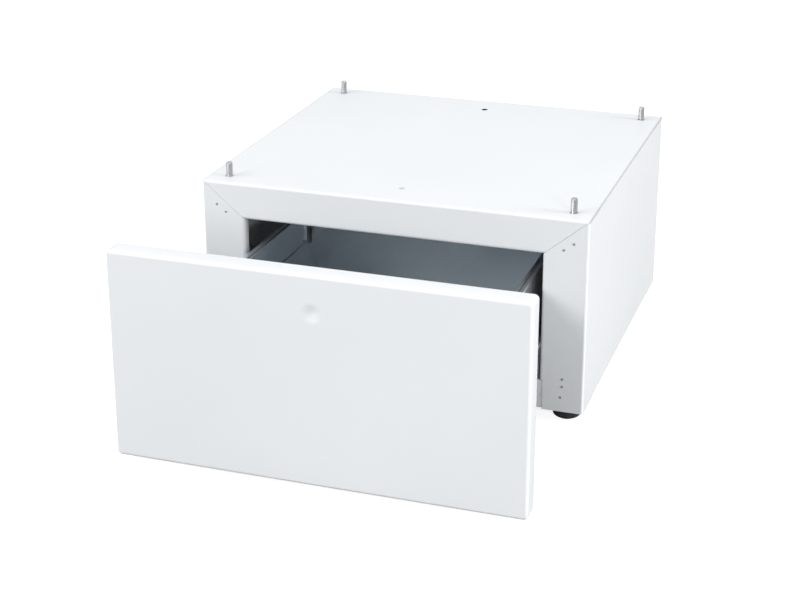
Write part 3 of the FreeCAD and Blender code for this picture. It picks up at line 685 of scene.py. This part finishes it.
# %% Rivets on the stiles
RIVET_RADIUS = 2.0 * MM
RIVET_HEIGHT = 0.6 * MM
RIVET_STEPS = 20
RIVET_PROFILE = (
    (0.0, 0.35), (0.4, 0.35), (0.5, 0.85), (0.7, 1.0), (0.9, 0.7), (1.0, 0.0), (0.0, 0.0),
)
STILE_RIVETS = ((22.0, 263.0), (36.5, 252.5), (32.5, 52.0), (32.5, 40.0), (34.5, 22.5))


def rivet(bm, foot, away, radius=RIVET_RADIUS):
    """A rivet head that stands on foot and points along away."""
    profile = [(r * radius, h * RIVET_HEIGHT) for r, h in RIVET_PROFILE]
    head = spin_round(bm, profile, Vector((0, 0, 0)), RIVET_STEPS)
    turn = Vector((0, 0, 1)).rotation_difference(Vector(away)).to_matrix()
    bmesh.ops.rotate(bm, cent=(0, 0, 0), matrix=turn, verts=head)
    bmesh.ops.translate(bm, vec=foot, verts=head)


def stile_rivets():
    low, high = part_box("side_panel_right")
    bm = bmesh.new()
    for inset, height in STILE_RIVETS:
        for side in (-1, 1):
            foot = Vector((side * (high.x - inset * MM), low.y, low.z + height * MM))
            rivet(bm, foot, (0, -1, 0))
    finish_piece("stile_rivets", bm, "shell", "zinc_steel")


stile_rivets()

# %% [markdown]
# More rivets hold the drawer together. Both lips of each runner carrier are riveted to the side of
# the tray, and larger heads hold the tray's front wall to the drawer front. A row along the lower
# edge of the rear panel holds it to the rail behind. All of them are the same head as above.

# %% Rivets of the drawer and the rear panel
CARRIER_SHEET = 1.5 * MM
TRAY_SHEET = 1.0 * MM
UPPER_LIP = 10.0 * MM
LOWER_LIP = 5.5 * MM
CARRIER_RIVETS = 5
CARRIER_RIVET_END = 40.0 * MM
FIXING_RADIUS = 3.6 * MM
FIXINGS = 4
FIXING_REACH = 150.0 * MM
FIXING_HEIGHTS = (35.0 * MM, 105.0 * MM)
REAR_RIVETS = 6
REAR_RIVET_HEIGHT = 23.0 * MM
REAR_RIVET_REACH = 220.0 * MM


def between(first, last, count):
    """Evenly spaced places, the ends included."""
    return [first + (last - first) * k / (count - 1) for k in range(count)]


def carrier_rivets(side, sign):
    low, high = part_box("runner_carrier_" + side)
    wall = min(abs(low.x), abs(high.x)) + CARRIER_SHEET
    bm = bmesh.new()
    for y in between(low.y + CARRIER_RIVET_END, high.y - CARRIER_RIVET_END, CARRIER_RIVETS):
        for z in (high.z - UPPER_LIP / 2, low.z + LOWER_LIP / 2):
            rivet(bm, Vector((sign * wall, y, z)), (sign, 0, 0))
    finish_piece("carrier_rivets_" + side, bm, "drawer", "zinc_steel")


def front_fixings():
    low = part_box("drawer_inner_front")[0]
    bm = bmesh.new()
    for x in between(-FIXING_REACH, FIXING_REACH, FIXINGS):
        for height in FIXING_HEIGHTS:
            foot = Vector((x, low.y + TRAY_SHEET, low.z + height))
            rivet(bm, foot, (0, 1, 0), FIXING_RADIUS)
    finish_piece("front_fixings", bm, "drawer", "zinc_steel")


def rear_rivets():
    low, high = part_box("rear_panel")
    bm = bmesh.new()
    for x in between(-REAR_RIVET_REACH, REAR_RIVET_REACH, REAR_RIVETS):
        rivet(bm, Vector((x, high.y, low.z + REAR_RIVET_HEIGHT)), (0, 1, 0), FIXING_RADIUS)
    finish_piece("rear_rivets", bm, "shell", "zinc_steel")


carrier_rivets("left", -1)
carrier_rivets("right", 1)
front_fixings()
rear_rivets()

# %% [markdown]
# Inside each side rail of the drawer lies a trim: a long shallow pan of thin sheet that hides the
# folds behind it. Its floor lies on the tray's wall and its lips turn towards the drawer's inside,
# where their rounded edges draw the lines that lead the eye into the drawer.

# %% Side trims
TRIM_CORNER = 6.0 * MM
TRIM_CORNER_STEPS = 6
TRIM_ROUNDING = 3.5 * MM
TRIM_ROUNDING_STEPS = 5
TRIM_SHEET = 0.8 * MM


def side_trim(side, inwards):
    low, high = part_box("side_trim_" + side)
    mouth = Vector((inwards, 0, 0))
    bm = open_pan(
        low, high, mouth, TRIM_CORNER, TRIM_CORNER_STEPS, TRIM_ROUNDING, TRIM_ROUNDING_STEPS
    )
    piece = finish_piece("trim_" + side, bm, "drawer", "grey_lacquer", ["side_trim_" + side])
    thicken(piece, TRIM_SHEET)
    keep_flat(piece)


side_trim("left", 1)
side_trim("right", -1)

# %% [markdown]
# A ball runner has three members of bright rolled steel, one sliding in the other. Each is a
# channel whose web is punched with slots for screws and for gripping it in the press. The web is
# one flat outline with holes, filled with triangles. Its long edges are spun a quarter turn to
# make the bends, and extruded on to make the lips that the balls run in. Solidify adds the sheet.

# %% Web of a runner member
SLOT_HEIGHT = 5.0 * MM
SLOT_LENGTH = 14.0 * MM
SLOT_FIRST = 24.0 * MM
SLOT_COUNT = 8
SLOT_STEPS = 20


def slot_outline(bm, x, y, z, length):
    """A round-ended slot in an upright plate, as a closed loop of edges."""
    circle = bmesh.ops.create_circle(
        bm, cap_ends=False, segments=SLOT_STEPS, radius=SLOT_HEIGHT / 2
    )
    ring = circle["verts"]
    bmesh.ops.rotate(bm, cent=(0, 0, 0), matrix=Matrix.Rotation(math.pi / 2, 3, "Y"), verts=ring)
    stretch = (length - SLOT_HEIGHT) / 2
    for vert in ring:
        if abs(vert.co.y) > MERGE:
            vert.co.y += math.copysign(stretch, vert.co.y)
    bmesh.ops.translate(bm, vec=(x, y, z), verts=ring)
    return list({e for v in ring for e in v.link_edges})


def punched_web(bm, x, front, rear, bottom, top):
    """An upright plate with a row of holes and slots. Its four outer edges are given back."""
    corners = ((front, bottom), (rear, bottom), (rear, top), (front, top))
    verts = [bm.verts.new((x, y, z)) for y, z in corners]
    border = [bm.edges.new((verts[k], verts[k - 1])) for k in range(len(verts))]
    outline = list(border)
    for k, y in enumerate(between(front + SLOT_FIRST, rear - SLOT_FIRST, SLOT_COUNT)):
        length = SLOT_LENGTH if k % 2 else SLOT_HEIGHT
        outline += slot_outline(bm, x, y, (bottom + top) / 2, length)
    bmesh.ops.triangle_fill(bm, use_beauty=True, edges=outline)
    return border


# %% [markdown]
# The outer and middle members have their web on the shell's side, and the inner one has it on the
# drawer's side. The lips turn the other way. The faces look outwards, away from the lips, when the
# piece is finished, so Solidify adds the sheet on the side of the lips.

# %% Runner members
RUNNER_SHEET = 1.2 * MM
RUNNER_BEND = 2.2 * MM
BEND_STEPS = 6


def bend_lip(bm, edge, web, lip, middle):
    """Bend a long edge of the web a quarter turn, and pull it on to the end of its lip."""
    inwards = math.copysign(1, lip - web)
    height = edge.verts[0].co.z
    up = 1 if height > middle else -1
    made = bmesh.ops.spin(
        bm, geom=[edge, *edge.verts], cent=(web + inwards * RUNNER_BEND, 0, height),
        axis=(0, 1, 0), angle=up * inwards * math.pi / 2, steps=BEND_STEPS,
    )
    last = [e for e in made["geom_last"] if isinstance(e, bmesh.types.BMEdge)]
    pulled = bmesh.ops.extrude_edge_only(bm, edges=last)["geom"]
    ends = [v for v in pulled if isinstance(v, bmesh.types.BMVert)]
    bmesh.ops.translate(bm, vec=(lip - ends[0].co.x, 0, 0), verts=ends)


def runner_member(kind, side, body):
    node = kind + "_" + side
    low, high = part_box(node)
    web_at_high = (side == "right") == (kind != "runner_inner")
    web, lip = (high.x, low.x) if web_at_high else (low.x, high.x)
    bm = bmesh.new()
    border = punched_web(bm, web, low.y, high.y, low.z + RUNNER_BEND, high.z - RUNNER_BEND)
    for edge in border:
        if abs(edge.verts[0].co.y - edge.verts[1].co.y) > RUNNER_BEND:
            bend_lip(bm, edge, web, lip, (low.z + high.z) / 2)
    piece = finish_piece(node + "_punched", bm, body, "runner_steel", [node])
    thicken(piece, RUNNER_SHEET)


for side in ("left", "right"):
    runner_member("runner_outer", side, "shell")
    runner_member("runner_middle", side, "middle_" + side)
    runner_member("runner_inner", side, "drawer")

# %% [markdown]
# The set is as plain as in a catalogue picture: a white floor without an edge, in a pale room. The
# room is darker near its horizon than overhead, so that rounded edges and bright steel have
# something dark to mirror. The floor shines to stay white, but fades to a soft shadow under the
# shell.

# %% Floor and room
FLOOR_SIZE = 30.0
FLOOR_GLOW = 0.9
UNDER_X = 245.0 * MM
UNDER_Y = 205.0 * MM
UNDER_SOFT = 45.0 * MM
ROOM_LOW = 0.42
ROOM_HIGH = 0.7
ROOM_RISE = (0.0, 0.5)
ROOM_COLOUR = (0.98, 0.99, 1.0, 1)


def floor_paper():
    tree, shader = start_finish("floor_paper")
    place = place_on_piece(tree)
    paper = speckle(tree, place, scale=2.0)
    shade = ramp(tree, paper, (0.25, 0.25, 0.25), (0.27, 0.27, 0.27))
    tree.links.new(shade, shader.inputs["Base Color"])
    shader.inputs["Roughness"].default_value = 0.9
    shader.inputs["Emission Color"].default_value = (1, 1, 1, 1)
    along = axes(tree, place)
    beside = beyond(tree, calculate(tree, "ABSOLUTE", along["X"]), UNDER_X, UNDER_SOFT)
    ahead = beyond(tree, calculate(tree, "ABSOLUTE", along["Y"]), UNDER_Y, UNDER_SOFT)
    clear = calculate(tree, "MAXIMUM", beside, ahead)
    path = tree.nodes.new("ShaderNodeLightPath")
    seen = calculate(tree, "MULTIPLY", path.outputs["Is Camera Ray"], clear)
    tree.links.new(level(tree, seen, high=FLOOR_GLOW), shader.inputs["Emission Strength"])


def white_floor():
    bm = bmesh.new()
    bmesh.ops.create_grid(bm, x_segments=1, y_segments=1, size=FLOOR_SIZE / 2)
    mesh = bpy.data.meshes.new("floor")
    bm.to_mesh(mesh)
    bm.free()
    mesh.materials.append(FINISHES["floor_paper"])
    floor = bpy.data.objects.new("floor", mesh)
    bpy.context.scene.collection.objects.link(floor)


def pale_room():
    """A world whose strength rises from the horizon to overhead."""
    room = bpy.data.worlds.new("pale_room")
    room.use_nodes = True
    tree = room.node_tree
    coords = tree.nodes.new("ShaderNodeTexCoord")
    height = axes(tree, coords.outputs["Generated"])["Z"]
    rise = level(tree, height, ROOM_LOW, ROOM_HIGH, *ROOM_RISE)
    backdrop = tree.nodes["Background"]
    tree.links.new(rise, backdrop.inputs["Strength"])
    backdrop.inputs["Color"].default_value = ROOM_COLOUR
    bpy.context.scene.world = room


floor_paper()
white_floor()
pale_room()
print("floor", FLOOR_SIZE, "m, room strength", ROOM_LOW, "to", ROOM_HIGH)

# %% [markdown]
# Soft light comes from all round. Lamps at the left and in front make the studs throw short soft
# shadows, a wide one at the right lights the side, a low one at the right fills the stile behind
# the drawer front, and one above brightens the top. The two at the right are kept out of
# reflections, so that the enamel doesn't flare.

# %% Lamps
def soft_lamp(name, place, size, power, mirrored=True):
    """A round lamp that looks at the pedestal. Bright steel and enamel may mirror it or not."""
    lamp = bpy.data.lights.new(name, "AREA")
    lamp.shape = "DISK"
    lamp.size = size
    lamp.energy = power
    stand = bpy.data.objects.new(name, lamp)
    stand.location = place
    ahead = (cad_low + cad_high) / 2 - Vector(place)
    stand.rotation_euler = ahead.to_track_quat("-Z", "Y").to_euler()
    stand.visible_glossy = mirrored
    bpy.context.scene.collection.objects.link(stand)
    print(name, power, "W")


soft_lamp("lamp_left", (-5.4, -2.4, 3.4), size=1.6, power=100)
soft_lamp("lamp_front", (-4.2, -5.4, 3.4), size=2.6, power=170)
soft_lamp("lamp_right", (6.4, 0.2, 1.8), size=3.0, power=325, mirrored=False)
soft_lamp("lamp_fill", (4.2, -5.6, 1.7), size=1.6, power=145, mirrored=False)
soft_lamp("lamp_above", (0.3, 0.2, 6.0), size=4.0, power=52)
bpy.context.scene.view_settings.view_transform = "Standard"

# %% [markdown]
# The camera stands at the right, well above the pedestal, and looks down on its open drawer. Its
# place and lens were found from the straight edges of the photograph, and a little shift keeps
# the uprights nearly parallel, as a shift lens does.

# %% Camera
IMAGE_WIDTH = 800
SENSOR_WIDTH = 36.0
FOCAL_PIXELS = 1693.4
CAMERA_YAW = math.radians(18.54)
CAMERA_PITCH = math.radians(19.609)
CAMERA_PLACE = (0.7554, -2.4854, 1.1184)
CAMERA_SHIFT = -0.1

lens = bpy.data.cameras.new("camera")
lens.sensor_width = SENSOR_WIDTH
lens.lens = FOCAL_PIXELS / IMAGE_WIDTH * SENSOR_WIDTH
lens.shift_y = CAMERA_SHIFT
camera = bpy.data.objects.new("camera", lens)
camera.location = CAMERA_PLACE
camera.rotation_euler = (math.pi / 2 - CAMERA_PITCH, 0, CAMERA_YAW)
bpy.context.scene.collection.objects.link(camera)
bpy.context.scene.camera = camera
print("lens", round(lens.lens, 2), "mm")
